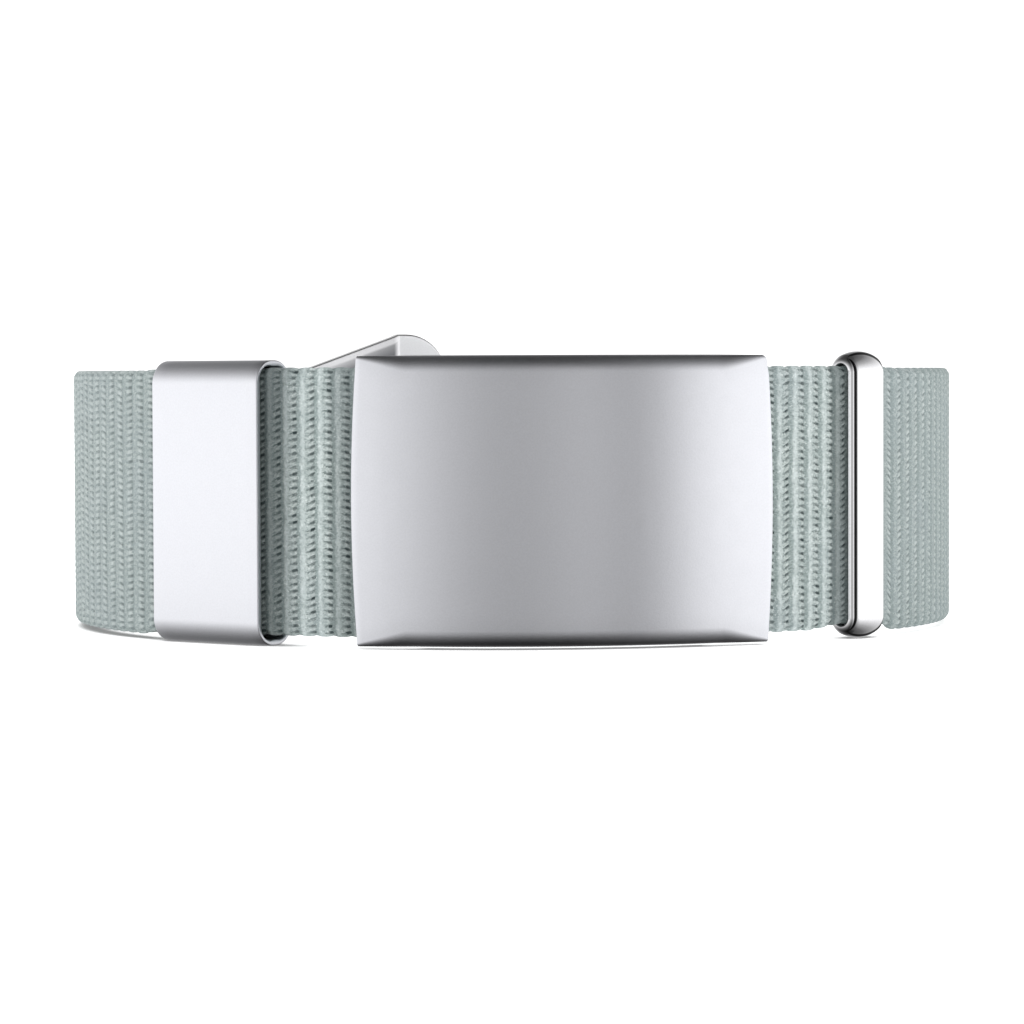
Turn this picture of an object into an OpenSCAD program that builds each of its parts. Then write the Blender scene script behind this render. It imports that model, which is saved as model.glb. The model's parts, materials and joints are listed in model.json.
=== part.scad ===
// Webbing bracelet with a curved steel plate, a flat keeper, a polished ring and a lever clasp.
// The loop stands on its edge: +Z is up along the loop's axis, and the plate is at the front, at -Y.
// Origin: middle of the overall outline in plan, on the surface that the bracelet stands on. Millimetres.

/* [Webbing] */
// Width of the webbing
strap_w = 22; // [17:0.1:28]
// Thickness of the webbing over its ribs
strap_t = 1.3; // [1.1:0.05:1.7]
// Distance from one rib to the next
rib_pitch = 1.6; // [1.2:0.02:2.4]
// Depth of the groove between two ribs
rib_depth = 0.2; // [0.05:0.01:0.25]
// Height of the plain woven edge
selvage_h = 0.6; // [0.4:0.1:1.5]
// Thickness of the plain woven edge
selvage_t = 0.7; // [0.5:0.05:0.8]
// Gap between the webbing and its tail, which lies inside it
layer_gap = 0.1; // [0.05:0.01:0.25]
// Length over which the webbing steps in under its own start
step_len = 14; // [10:1:17]
// Length of tail that stands out of the keeper
tail_past = 4; // [1:0.5:5]

/* [Loop] */
// Width of the loop over the webbing
loop_w = 79.8; // [74:0.2:84]
// Radius of the front stretch, which the plate follows
front_r = 42; // [40:0.5:45]
// Angle that the front stretch turns to each side of its middle
front_turn = 50; // [45:1:55]
// Angle that the back stretch turns to each side of its middle
back_turn = 30; // [27:1:36]

/* [Plate] */
// Length of the plate along its face
plate_len = 36.4; // [26:0.2:38]
// Room between the webbing's lower edge and the plate's lower bend
plate_room = 0.5; // [0.12:0.01:0.6]
// Room between the webbing's upper edge and the plate's upper bend
plate_top_room = 0.4; // [0.12:0.01:0.6]
// Place of the plate's middle along the webbing, from the front's middle
plate_at = 4.6; // [2:0.2:7]
// Thickness of the plate's sheet
plate_t = 0.55; // [0.4:0.05:0.9]
// Outside radius of the bend along the plate's long edges
plate_bend_r = 1.3; // [1:0.1:2]
// How far the plate's short sides bow out
plate_bow = 0.5; // [0.2:0.1:1]
// Length of the flanges behind the plate
flange_len = 25; // [18:0.5:27]
// Width of the two bars that close the flanges behind the webbing
bar_w = 3; // [2:0.2:5]

/* [Keeper] */
// Length of the keeper along the webbing
keeper_len = 11.8; // [7:0.2:12]
// Place of the keeper's middle along the webbing
keeper_at = -27.4; // [-30:0.2:-24.5]
// Thickness of the keeper's sheet
keeper_t = 0.5; // [0.4:0.05:0.8]
// Outside radius of the keeper's corners
keeper_corner_r = 1.2; // [0.9:0.05:1.25]

/* [Ring] */
// Width of the ring's bar along the webbing
ring_w = 4.4; // [2:0.1:5]
// Place of the ring's middle along the webbing
ring_at = 33.4; // [28:0.2:34]
// Thickness of the ring's bar in its middle
ring_t = 1.05; // [0.8:0.05:1.4]
// How far the bar's outer face rises from its edges to its middle
ring_rise = 0.6; // [0.3:0.05:0.7]

/* [Clasp] */
// Length of the clasp's case along the webbing
case_len = 21.4; // [20:0.2:24]
// Place of the case's middle along the webbing, from the back's middle
case_at = 10.9; // [9:0.2:13]
// Thickness of the case's sheet
case_t = 0.5; // [0.4:0.05:0.7]
// Outside radius of the case's corners
case_corner_r = 1.2; // [0.9:0.05:1.25]
// Length of the case's stretch that closes round the webbing
sleeve_len = 11; // [8:0.5:12]
// Radius of the hinge pin
pin_r = 0.5; // [0.4:0.05:0.7]
// Radius of the hinge's knuckles
knuckle_r = 1.1; // [1:0.05:1.4]
// Height of each ear that holds the pin
ear_h = 1.5; // [1:0.1:2.5]
// Angle of the open lever from the +X axis
lever_angle = 50; // [40:1:60]
// Length of the lever from its pin to its bend
lever_len = 14.8; // [11:0.2:15]
// Thickness of the lever's sheet
lever_t = 0.7; // [0.5:0.05:0.9]
// How far the lever's upper edge starts above the webbing
lever_start = 0.2; // [0:0.05:0.5]
// How far the lever's upper edge rises from its pin to its bend
lever_flare = 3.4; // [1:0.05:4]
// Length of the lip past the lever's bend
lip_len = 5.4; // [5:0.2:7]
// Angle of the lip's bend
lip_bend = 28; // [15:1:32]
// Radius of the lip's corners
lip_corner_r = 4.4; // [2:0.1:5]
// Diameter of the small hole by the lever's upper edge
lever_hole_d = 0.6; // [0.3:0.05:1]

/* [Clearances] */
// Gap between a steel piece and the webbing's ribs
face_gap = 0.15; // [0.05:0.01:0.3]
// Gap between a steel piece and the webbing's edges
edge_gap = 0.12; // [0.1:0.01:0.3]
// Gap between the hinge pin and its bores, on the radius
pin_gap = 0.05; // [0.02:0.01:0.1]
// Gap between the hinge's moving and fixed pieces
hinge_gap = 0.25; // [0.1:0.05:0.4]

/* [Hidden] */
$fn = 96;
webbing_colour = [0.58, 0.64, 0.63];
satin_colour = [0.80, 0.80, 0.81];
polished_colour = [0.88, 0.88, 0.90];
// A cut tool reaches this far past what it cuts
past = 1;
// A cut beside a bend or a wall keeps this much of what is next to it
cut_inset = 0.1;

// Circular distance in degrees for a length on a radius
function arc_deg(length, radius) = length / radius * 180 / PI;
// Middle of a chord to the middle of its arc
function arc_sag(chord, radius) = radius - sqrt(radius * radius - chord * chord / 4);
// Direction away from the wrist where the loop runs at a heading
function outward(heading) = [sin(heading), -cos(heading)];
// Direction in plan of an angle from the +X axis
function along(angle) = [cos(angle), sin(angle)];

// The loop, from the front's middle, anticlockwise from above: rows of turn in degrees and outer radius
TURN = 0;
RADIUS = 1;
side_turn = 180 - front_turn - back_turn;
side_r = (loop_w / 2 - front_r * sin(front_turn)) / (1 - sin(front_turn));
back_r = side_r + (front_r - side_r) * sin(front_turn) / sin(back_turn);
loop_rows = [
    [front_turn, front_r],
    [side_turn, side_r],
    [2 * back_turn, back_r],
    [side_turn, side_r],
    [front_turn, front_r],
];
last_row = len(loop_rows) - 1;
function length_before(n) =
    n == 0 ? 0 : length_before(n - 1) + loop_rows[n - 1][TURN] * PI / 180 * loop_rows[n - 1][RADIUS];
function heading_before(n) = n == 0 ? 0 : heading_before(n - 1) + loop_rows[n - 1][TURN];
function centre_of(n) =
    n == 0 ? [0, front_r]
    : centre_of(n - 1) + (loop_rows[n - 1][RADIUS] - loop_rows[n][RADIUS]) * outward(heading_before(n));
row_from = [for (n = [0:last_row + 1]) length_before(n)];
row_heading = [for (n = [0:last_row]) heading_before(n)];
loop_len = row_from[last_row + 1];

// Heights: the webbing clears the ring's round lower end. The ring, keeper and clasp stand on the surface
ring_bore_r = (strap_t + arc_sag(ring_w, front_r)) / 2 + face_gap;
ring_edge_sag = ring_bore_r - sqrt(ring_bore_r * ring_bore_r - selvage_t * selvage_t / 4);
strap_z = ring_t + ring_edge_sag + edge_gap;
strap_top = strap_z + strap_w;
inner_top = strap_top + edge_gap;
plate_z = max(0, strap_z - plate_room - plate_t);
plate_h = strap_top + plate_top_room + plate_t - plate_z;

// Depth of the two layers of webbing
stack_t = 2 * strap_t + layer_gap;

// Clasp: the back stretch's middle is half way round the loop
back_centre = centre_of(2);
case_outer_r = back_r + face_gap + case_t;
hinge_r = case_outer_r + hinge_gap + knuckle_r;
case_s = loop_len / 2 + case_at;
case_heading = 180 + arc_deg(case_at, back_r);
case_half = arc_deg(case_len / 2, back_r);
hinge_heading = case_heading + case_half - arc_deg(knuckle_r, back_r);
hinge_from_front = back_centre + hinge_r * outward(hinge_heading);
lip_tip = hinge_from_front + lever_len * along(lever_angle) + knuckle_r * along(lever_angle + 90)
    + lip_len * along(lever_angle - lip_bend);

// The outline's middle in plan is the origin: from the plate's face to the lip's tip
plate_face_r = front_r + face_gap + plate_t;
front_y = (plate_face_r - front_r - lip_tip.y) / 2;
front_centre = [0, front_y + front_r];
clasp_centre = back_centre + [0, front_y];
hinge_pos = hinge_from_front + [0, front_y];
row_centre = [for (n = [0:last_row]) centre_of(n) + [0, front_y]];

// Heights between which the case's plate carries the hinge
case_z = [strap_z + selvage_h, strap_top - selvage_h];

// Webbing: it starts in the case, goes once round, steps in under its start and ends past the keeper
strap_from = case_s - case_len / 2 + sleeve_len / 2;
step_to = strap_from + loop_len - 1;
strap_to = 2 * loop_len + keeper_at + keeper_len / 2 + tail_past;
rib_count = 2 * floor((strap_to - strap_from) / rib_pitch / 2);

// Point of the loop at a distance along it, moved towards the wrist by a depth
function loop_row(s) = [for (n = [0:last_row]) if (s < row_from[n + 1]) n][0];
function loop_heading(s) =
    let (lap = s - floor(s / loop_len) * loop_len, n = loop_row(lap))
    row_heading[n] + arc_deg(lap - row_from[n], loop_rows[n][RADIUS]);
function loop_point(s, depth) =
    let (lap = s - floor(s / loop_len) * loop_len, n = loop_row(lap))
    row_centre[n] + (loop_rows[n][RADIUS] - depth) * outward(loop_heading(s));

// Depth of the webbing's outer face: nothing on the first lap, one layer and the gap on the tail
function ease(x) = x * x * (3 - 2 * x);
function layer_depth(s) = (strap_t + layer_gap) * ease(max(0, min(1, (s - step_to) / step_len + 1)));

// One face of the ribbed webbing: a groove, then the ridge half a pitch further on
function ribbed_face(face, inwards) = [
    for (i = [0:rib_count])
        let (s = strap_from + i * rib_pitch, ridge_s = s + rib_pitch / 2)
        each [
            loop_point(s, layer_depth(s) + face + inwards * rib_depth),
            if (i < rib_count) loop_point(ridge_s, layer_depth(ridge_s) + face),
        ]
];
// One face of the plain edge, with a point at every second groove
function plain_face(face) = [
    for (i = [0:2:rib_count])
        let (s = strap_from + i * rib_pitch)
        loop_point(s, layer_depth(s) + face)
];
function reversed(list) = [for (i = [len(list) - 1:-1:0]) list[i]];

// Children stand on the webbing's outer face: X along the webbing, Y towards the wrist
module on_loop(s) {
    translate(loop_point(s, 0))
        rotate([0, 0, loop_heading(s)])
            children();
}

// A flat outline in Y and Z, drawn out along X about the middle
module along_x(length) {
    rotate([90, 0, 90])
        linear_extrude(length, center = true)
            children();
}

// A section of radius and height, swept about a centre between two headings of the loop
module sweep_headings(centre, from, to) {
    translate(centre)
        rotate([0, 0, from - 90])
            rotate_extrude(angle = to - from)
                children();
}

// Rectangle from one corner to another with round corners
module round_rect(low, high, r) {
    translate([low.x + r, low.y])
        square([high.x - low.x - 2 * r, high.y - low.y]);
    translate([low.x, low.y + r])
        square([high.x - low.x, high.y - low.y - 2 * r]);
    for (x = [low.x + r, high.x - r], y = [low.y + r, high.y - r])
        translate([x, y])
            circle(r);
}

// Section of sheet bent round a space that goes from low to high
module bent_section(low, high, sheet, corner_r) {
    difference() {
        round_rect(low - [sheet, sheet], high + [sheet, sheet], corner_r);
        round_rect(low, high, corner_r - sheet);
    }
}

// Ribbed band, round a thinner core that shows as the plain edges
module strap() {
    color(webbing_colour) {
        translate([0, 0, strap_z + selvage_h])
            linear_extrude(strap_w - 2 * selvage_h)
                polygon(concat(ribbed_face(0, 1), reversed(ribbed_face(strap_t, -1))));
        translate([0, 0, strap_z])
            linear_extrude(strap_w)
                polygon(concat(
                    plain_face((strap_t - selvage_t) / 2),
                    reversed(plain_face((strap_t + selvage_t) / 2))
                ));
    }
}

// Sheet bent back along both long edges, whose flanges and two bars hold the webbing
module id_plate() {
    middle = arc_deg(plate_at, front_r);
    half = arc_deg(plate_len / 2, plate_face_r);
    flange_half = arc_deg(flange_len / 2, plate_face_r);
    bar_from = flange_half - arc_deg(bar_w, plate_face_r);
    low = [front_r - strap_t - face_gap, plate_t];
    high = [front_r + face_gap, plate_h - plate_t];
    color(satin_colour)
        translate([0, 0, plate_z])
            difference() {
                sweep_headings(front_centre, middle - half - past, middle + half + past)
                    bent_section(low, high, plate_t, plate_bend_r);
                sweep_headings(front_centre, middle - bar_from, middle + bar_from)
                    back_cut(low.x - plate_t - past, low.x + cut_inset, plate_h);
                for (side = [-1, 1])
                    sweep_headings(front_centre, middle + min(side * flange_half, side * (half + 2 * past)),
                            middle + max(side * flange_half, side * (half + 2 * past)))
                        back_cut(low.x - plate_t - past, plate_face_r - plate_bend_r - cut_inset, plate_h);
                translate(front_centre)
                    rotate([90, 0, middle])
                        linear_extrude(plate_face_r + past)
                            translate([0, plate_h / 2])
                                difference() {
                                    square([plate_len + 6 * past, plate_h + 2 * past], center = true);
                                    plate_outline(plate_h + 4 * past);
                                }
            }
}

// Section of a cut through everything between two radii
module back_cut(from_r, to_r, height) {
    translate([from_r, -past])
        square([to_r - from_r, height + 2 * past]);
}

// The plate from the front: straight long edges, and short sides that bow out
module plate_outline(height) {
    chord = 2 * plate_face_r * sin(arc_deg(plate_len / 2, plate_face_r));
    bow_r = (plate_h * plate_h / 4 + plate_bow * plate_bow) / (2 * plate_bow);
    intersection() {
        square([chord, height], center = true);
        for (side = [-1, 1])
            translate([side * (chord / 2 - bow_r), 0])
                circle(bow_r, $fn = 360);
    }
}

// Flat sheet tube round the webbing and its tail
module keeper() {
    space = stack_t + arc_sag(keeper_len, front_r) + face_gap;
    color(satin_colour)
        on_loop(loop_len + keeper_at)
            along_x(keeper_len)
                bent_section([-face_gap, keeper_t], [space, inner_top], keeper_t, keeper_corner_r);
}

// Bar section of the ring: radius from the ring's own axis, and place along the webbing
module ring_bar() {
    face_r = (ring_w * ring_w / 4 + ring_rise * ring_rise) / (2 * ring_rise);
    intersection() {
        translate([ring_bore_r + ring_t - face_r, 0])
            circle(face_r, $fn = 240);
        translate([ring_bore_r, -ring_w / 2])
            square([ring_t, ring_w]);
    }
}

// Long loop of polished bar, with round ends, round one layer of webbing
module ring() {
    low_z = ring_t + ring_bore_r;
    high_z = inner_top + ring_edge_sag - ring_bore_r;
    straight = (high_z - low_z) / 2;
    color(polished_colour)
        on_loop(ring_at)
            translate([0, ring_bore_r - face_gap, low_z + straight])
                for (half = [0, 1])
                    mirror([0, 0, half]) {
                        translate([0, 0, straight])
                            rotate([90, 0, 90])
                                rotate_extrude(angle = 180)
                                    ring_bar();
                        for (side = [-90, 90])
                            rotate([0, 0, side])
                                linear_extrude(straight)
                                    ring_bar();
                    }
}

// Curved case: a sleeve round the webbing, and a plate outside it that carries the hinge's ears
module clasp_case() {
    right = case_heading - case_half;
    left = case_heading + case_half;
    sleeve_to = right + arc_deg(sleeve_len, back_r);
    low = [back_r - stack_t - face_gap, case_t];
    high = [back_r + face_gap, inner_top];
    color(satin_colour)
        difference() {
            union() {
                difference() {
                    sweep_headings(clasp_centre, right, left)
                        bent_section(low, high, case_t, case_corner_r);
                    sweep_headings(clasp_centre, sleeve_to, left + past)
                        difference() {
                            back_cut(low.x - case_t - past, case_outer_r + past, high.y + case_t);
                            translate([high.x + cut_inset / 2, case_z[0]])
                                square([case_t + 2 * past, case_z[1] - case_z[0]]);
                        }
                }
                for (z = [case_z[0] + cut_inset, case_z[1] - cut_inset - ear_h])
                    translate([hinge_pos.x, hinge_pos.y, z])
                        hinge_ear();
            }
            translate([hinge_pos.x, hinge_pos.y, 0])
                cylinder(h = inner_top, r = pin_r + pin_gap);
        }
}

// Ear that reaches from the case's plate to round the pin
module hinge_ear() {
    cylinder(h = ear_h, r = knuckle_r);
    rotate([0, 0, hinge_heading])
        translate([-knuckle_r, 0, 0])
            cube([2 * knuckle_r, hinge_r - case_outer_r + case_t / 2, ear_h]);
}

module clasp_pin() {
    color(polished_colour)
        translate([hinge_pos.x, hinge_pos.y, case_z[0]])
            cylinder(h = case_z[1] - case_z[0], r = pin_r);
}

// The lever's upper edge, which flares out in a straight line towards the bend
lever_low = strap_z + edge_gap;
lever_root = knuckle_r + hinge_gap + edge_gap;
function lever_top(x) =
    strap_top + lever_start + lever_flare * (x - lever_root) / (lever_len - lever_root);

module lever_outline() {
    polygon([
        [lever_root, lever_low],
        [lever_root, lever_top(lever_root)],
        [lever_len, lever_top(lever_len)],
        [lever_len, lever_low],
    ]);
}

module clasp_lever() {
    knuckle_low = case_z[0] + cut_inset + ear_h + hinge_gap;
    knuckle_high = case_z[1] - cut_inset - ear_h - hinge_gap;
    color(satin_colour)
        translate([hinge_pos.x, hinge_pos.y, 0])
            rotate([0, 0, lever_angle])
                difference() {
                    union() {
                        translate([0, 0, knuckle_low])
                            cylinder(h = knuckle_high - knuckle_low, r = knuckle_r);
                        translate([0, knuckle_r - lever_t, knuckle_low])
                            cube([lever_root + edge_gap, lever_t, knuckle_high - knuckle_low]);
                        translate([0, knuckle_r, 0])
                            rotate([90, 0, 0])
                                linear_extrude(lever_t)
                                    lever_outline();
                        translate([lever_len, knuckle_r, 0])
                            rotate([90, 0, -lip_bend])
                                linear_extrude(lever_t)
                                    lip_outline();
                    }
                    cylinder(h = inner_top, r = pin_r + pin_gap);
                    translate([lever_len * 0.4, knuckle_r + past, lever_top(lever_len * 0.4) - lever_hole_d])
                        rotate([90, 0, 0])
                            cylinder(h = lever_t + 2 * past, r = lever_hole_d / 2, $fn = 32);
                }
}

// The lip: square to the bend, with round corners at its end
module lip_outline() {
    high = lever_top(lever_len);
    difference() {
        translate([0, lever_low])
            square([lip_len, high - lever_low]);
        for (corner = [[lever_low, 0], [high, 1]])
            translate([lip_len - lip_corner_r, corner[0] + lip_corner_r * (1 - 2 * corner[1])])
                difference() {
                    translate([0, -lip_corner_r * (1 - corner[1])])
                        square([lip_corner_r + past, lip_corner_r]);
                    circle(lip_corner_r);
                }
    }
}

strap();
id_plate();
keeper();
ring();
clasp_case();
clasp_pin();
clasp_lever();
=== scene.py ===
"""Looks of the webbing bracelet: woven strap, blasted steel plate and keeper, polished ring, lever clasp.

All lengths below are in millimetres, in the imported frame, and turn into metres where a mesh is made.
The sizes repeat those of the part's source, apart from the two bend radii named for looks.
"""
import json
import math

import bpy
import numpy as np
from mathutils import Matrix, Vector


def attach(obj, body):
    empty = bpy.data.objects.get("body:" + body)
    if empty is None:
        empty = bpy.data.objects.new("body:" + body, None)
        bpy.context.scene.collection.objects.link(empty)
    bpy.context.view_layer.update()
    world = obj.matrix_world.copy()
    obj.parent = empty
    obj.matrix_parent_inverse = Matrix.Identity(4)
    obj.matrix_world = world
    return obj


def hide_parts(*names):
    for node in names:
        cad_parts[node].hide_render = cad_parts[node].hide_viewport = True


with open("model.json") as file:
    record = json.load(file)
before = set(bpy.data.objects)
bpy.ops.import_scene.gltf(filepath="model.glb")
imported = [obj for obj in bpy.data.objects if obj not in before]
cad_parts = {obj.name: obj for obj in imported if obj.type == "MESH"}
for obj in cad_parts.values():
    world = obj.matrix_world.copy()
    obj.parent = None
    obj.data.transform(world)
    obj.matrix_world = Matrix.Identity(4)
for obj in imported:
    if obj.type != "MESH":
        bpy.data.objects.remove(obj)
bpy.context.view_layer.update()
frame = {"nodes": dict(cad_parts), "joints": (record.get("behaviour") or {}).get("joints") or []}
MM = 0.001

# Sizes of the part, in millimetres
STRAP_W, STRAP_T = 22.0, 1.3
RIB_PITCH = 1.6
SELVAGE_H, SELVAGE_T = 0.6, 0.7
LAYER_GAP, STEP_LEN, TAIL_PAST = 0.1, 14.0, 4.0
LOOP_W, FRONT_R = 79.8, 42.0
FRONT_TURN, BACK_TURN = 50.0, 30.0
PLATE_LEN, PLATE_H, PLATE_AT, PLATE_ROOM = 36.4, 24.0, 4.6, 0.5
PLATE_T, PLATE_BOW = 0.55, 0.5
FLANGE_LEN, BAR_W = 25.0, 3.0
KEEPER_LEN, KEEPER_AT, KEEPER_T = 11.8, -27.4, 0.5
RING_W, RING_AT, RING_T, RING_RISE = 4.4, 33.4, 1.05, 0.6
CASE_LEN, CASE_AT, CASE_T, CASE_CORNER_R, SLEEVE_LEN = 21.4, 10.9, 0.5, 1.2, 11.0
PIN_R, KNUCKLE_R, EAR_H = 0.5, 1.1, 1.5
LEVER_ANGLE, LEVER_LEN, LEVER_T, LEVER_START, LEVER_FLARE = 50.0, 14.8, 0.7, 0.2, 3.4
LIP_LEN, LIP_BEND, LIP_CORNER_R = 5.4, 28.0, 4.4
FACE_GAP, EDGE_GAP, PIN_GAP, HINGE_GAP, CUT_INSET = 0.15, 0.12, 0.05, 0.25, 0.1
# Outside radii of the plate's and the keeper's bends, a little larger than in the solids
PLATE_LOOK_R, KEEPER_LOOK_R = 1.4, 2.0
STACK_T = 2 * STRAP_T + LAYER_GAP


def sag(chord, radius):
    """How far a chord's middle lies inside its arc."""
    return radius - math.sqrt(radius * radius - chord * chord / 4)


def ease(x):
    """From 0 to 1 without a corner at either end, for x cut to that range."""
    x = np.clip(x, 0, 1)
    return x * x * (3 - 2 * x)


RING_BORE_R = (STRAP_T + sag(RING_W, FRONT_R)) / 2 + FACE_GAP
RING_EDGE_SAG = RING_BORE_R - math.sqrt(RING_BORE_R**2 - SELVAGE_T**2 / 4)
STRAP_Z = RING_T + RING_EDGE_SAG + EDGE_GAP
STRAP_TOP = STRAP_Z + STRAP_W
INNER_TOP = STRAP_TOP + EDGE_GAP
PLATE_Z = STRAP_Z - PLATE_ROOM - PLATE_T

# The loop in plan
SIN_FRONT = math.sin(math.radians(FRONT_TURN))
SIDE_R = (LOOP_W / 2 - FRONT_R * SIN_FRONT) / (1 - SIN_FRONT)
BACK_R = SIDE_R + (FRONT_R - SIDE_R) * SIN_FRONT / math.sin(math.radians(BACK_TURN))
SIDE_TURN = 180 - FRONT_TURN - BACK_TURN
TURNS = np.array([FRONT_TURN, SIDE_TURN, 2 * BACK_TURN, SIDE_TURN, FRONT_TURN])
RADII = np.array([FRONT_R, SIDE_R, BACK_R, SIDE_R, FRONT_R])
ROW_FROM = np.concatenate([[0], np.cumsum(np.radians(TURNS) * RADII)])
ROW_HEADING = np.concatenate([[0], np.cumsum(TURNS)])
LOOP_LEN = ROW_FROM[-1]


def outward(heading):
    """Direction away from the wrist where the loop runs at a heading in degrees."""
    h = np.radians(heading)
    return np.stack([np.sin(h), -np.cos(h)], axis=-1)


CENTRES = [np.array([0.0, FRONT_R])]
for row in range(1, len(TURNS)):
    CENTRES.append(CENTRES[-1] + (RADII[row - 1] - RADII[row]) * outward(ROW_HEADING[row]))
CASE_HEADING = 180 + math.degrees(CASE_AT / BACK_R)
CASE_HALF = math.degrees(CASE_LEN / 2 / BACK_R)
CASE_OUTER_R = BACK_R + FACE_GAP + CASE_T
HINGE_R = CASE_OUTER_R + HINGE_GAP + KNUCKLE_R
HINGE_HEADING = CASE_HEADING + CASE_HALF - math.degrees(KNUCKLE_R / BACK_R)
HINGE = np.array(frame["joints"][0]["pos_m"][:2]) / MM
FRONT_Y = HINGE[1] - (CENTRES[2] + HINGE_R * outward(HINGE_HEADING))[1]
CENTRES = np.array(CENTRES) + [0, FRONT_Y]
PLATE_FACE_R = FRONT_R + FACE_GAP + PLATE_T
STRAP_FROM = LOOP_LEN / 2 + CASE_AT - CASE_LEN / 2 + SLEEVE_LEN / 2
STEP_TO = STRAP_FROM + LOOP_LEN - 1
STRAP_TO = 2 * LOOP_LEN + KEEPER_AT + KEEPER_LEN / 2 + TAIL_PAST
RIB_COUNT = 2 * int((STRAP_TO - STRAP_FROM) / RIB_PITCH / 2)


def loop_at(s):
    """Centre, radius and heading of the loop at distances s along it."""
    lap = np.mod(s, LOOP_LEN)
    n = np.clip(np.searchsorted(ROW_FROM, lap, side="right") - 1, 0, len(TURNS) - 1)
    return CENTRES[n], RADII[n], ROW_HEADING[n] + np.degrees((lap - ROW_FROM[n]) / RADII[n])


def on_loop(s, depth, z):
    """Points at distances along the loop, depths towards the wrist and heights."""
    s, depth, z = np.broadcast_arrays(np.asarray(s, float), depth, z)
    centre, radius, heading = loop_at(s)
    plan = centre + (radius - depth)[..., None] * outward(heading)
    return np.concatenate([plan, z[..., None]], axis=-1)


def layer_depth(s):
    """Nothing on the first lap, and one layer and the gap on the tail."""
    return (STRAP_T + LAYER_GAP) * ease((s - STEP_TO) / STEP_LEN + 1)


# Mesh helpers
def grid_faces(rows, cols, wrap_rows=False, wrap_cols=False, start=0, flip=False):
    """Quads of a grid of vertices that are numbered row by row."""
    i = np.arange(rows if wrap_rows else rows - 1)
    j = np.arange(cols if wrap_cols else cols - 1)
    a, b = np.meshgrid(i, j, indexing="ij")
    a2, b2 = (a + 1) % rows, (b + 1) % cols
    quads = np.stack([a * cols + b, a * cols + b2, a2 * cols + b2, a2 * cols + b], axis=-1).reshape(-1, 4)
    return (quads[:, ::-1] if flip else quads) + start


def new_object(name, points, faces, smooth_angle=40, uv=None):
    """A mesh object from points in millimetres and lists of faces."""
    mesh = bpy.data.meshes.new(name)
    faces = [f for group in faces for f in (group.tolist() if isinstance(group, np.ndarray) else group)]
    mesh.from_pydata((np.asarray(points).reshape(-1, 3) * MM).tolist(), [], faces)
    if uv is not None:
        layer = mesh.uv_layers.new(name="weave")
        layer.data.foreach_set("uv", np.asarray(uv, float).ravel())
    mesh.shade_smooth()
    if smooth_angle:
        mesh.set_sharp_from_angle(angle=math.radians(smooth_angle))
    obj = bpy.data.objects.new(name, mesh)
    bpy.context.scene.collection.objects.link(obj)
    return obj


def rim_round(dist, edge):
    """How far a face drops at a distance from a rim that is rounded by edge."""
    near = np.clip(edge - dist, 0, edge)
    return edge - np.sqrt(np.maximum(edge * edge - near * near, 0))


def rim_close(edge):
    """Distances from a rim at which its rounding has points."""
    return edge * (1 - np.cos(np.radians([0, 30, 60, 90])))


def rim_steps(low, high, edge, steps):
    """Places from low to high with close ones beside both ends, for a rounded rim."""
    close = rim_close(edge)
    middle = np.linspace(low + edge, high - edge, max(2, steps))[1:-1]
    return np.concatenate([low + close, middle, (high - close)[::-1]])


def sheet_metal(face, normal, dist, thick, edge, wrap=False):
    """Points and faces of a sheet whose outer surface is a grid, with its rim rounded.

    With wrap the grid closes on itself along its rows, and only its first and last columns are rims.
    """
    rows, cols = face.shape[:2]
    drop = rim_round(dist, edge)[..., None]
    points = np.concatenate([
        (face - normal * drop).reshape(-1, 3),
        (face - normal * (thick - drop)).reshape(-1, 3),
    ])
    half = rows * cols
    faces = [
        grid_faces(rows, cols, wrap_rows=wrap),
        grid_faces(rows, cols, wrap_rows=wrap, start=half, flip=True),
    ]
    if wrap:
        rims = [np.arange(rows) * cols, (np.arange(rows) * cols + cols - 1)[::-1]]
    else:
        rims = [np.concatenate([
            np.arange(rows) * cols,
            (rows - 1) * cols + np.arange(1, cols),
            (np.arange(rows - 1) * cols + cols - 1)[::-1],
            np.arange(1, cols - 1)[::-1],
        ])]
    for rim in rims:
        after = np.roll(rim, -1)
        faces.append(np.stack([rim, after, after + half, rim + half], axis=-1))
    return points, faces


def rod(middle, radius, low, high, bore, edge=0.12, sides=48):
    """Upright tube with rounded ends, centred on a point in plan."""
    profile = [(bore, low), (radius - edge, low)]
    for step in (30, 60, 90):
        turn = math.radians(step)
        profile.append((radius - edge + edge * math.sin(turn), low + edge - edge * math.cos(turn)))
    profile += [(r, low + high - z) for r, z in profile[::-1]]
    angle = np.linspace(0, 2 * math.pi, sides, endpoint=False)
    points = np.array([
        [(middle[0] + r * math.cos(a), middle[1] + r * math.sin(a), z) for r, z in profile] for a in angle
    ])
    faces = grid_faces(sides, len(profile), wrap_rows=True, wrap_cols=True, flip=True)
    return points.reshape(-1, 3), [faces]


# Distance to a rim for a point that is near none, in millimetres
NO_RIM = 9.0
# Faces of a box whose corners are numbered by x, then y, then height
BOX = np.array([
    [0, 1, 3, 2], [4, 6, 7, 5], [0, 4, 5, 1], [2, 3, 7, 6], [0, 2, 6, 4], [1, 5, 7, 3],
])


def joined(*parts):
    """One list of points and faces from several."""
    points, faces, start = [], [], 0
    for part_points, part_faces in parts:
        part_points = np.asarray(part_points).reshape(-1, 3)
        points.append(part_points)
        for group in part_faces:
            faces.append(np.asarray(group) + start)
        start += len(part_points)
    return np.concatenate(points), faces


# Materials
def srgb(red, green, blue):
    """A node's colour from levels of 0 to 255 on the screen."""
    def linear(value):
        value /= 255
        return value / 12.92 if value <= 0.04045 else ((value + 0.055) / 1.055) ** 2.4
    return (linear(red), linear(green), linear(blue), 1)


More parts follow.
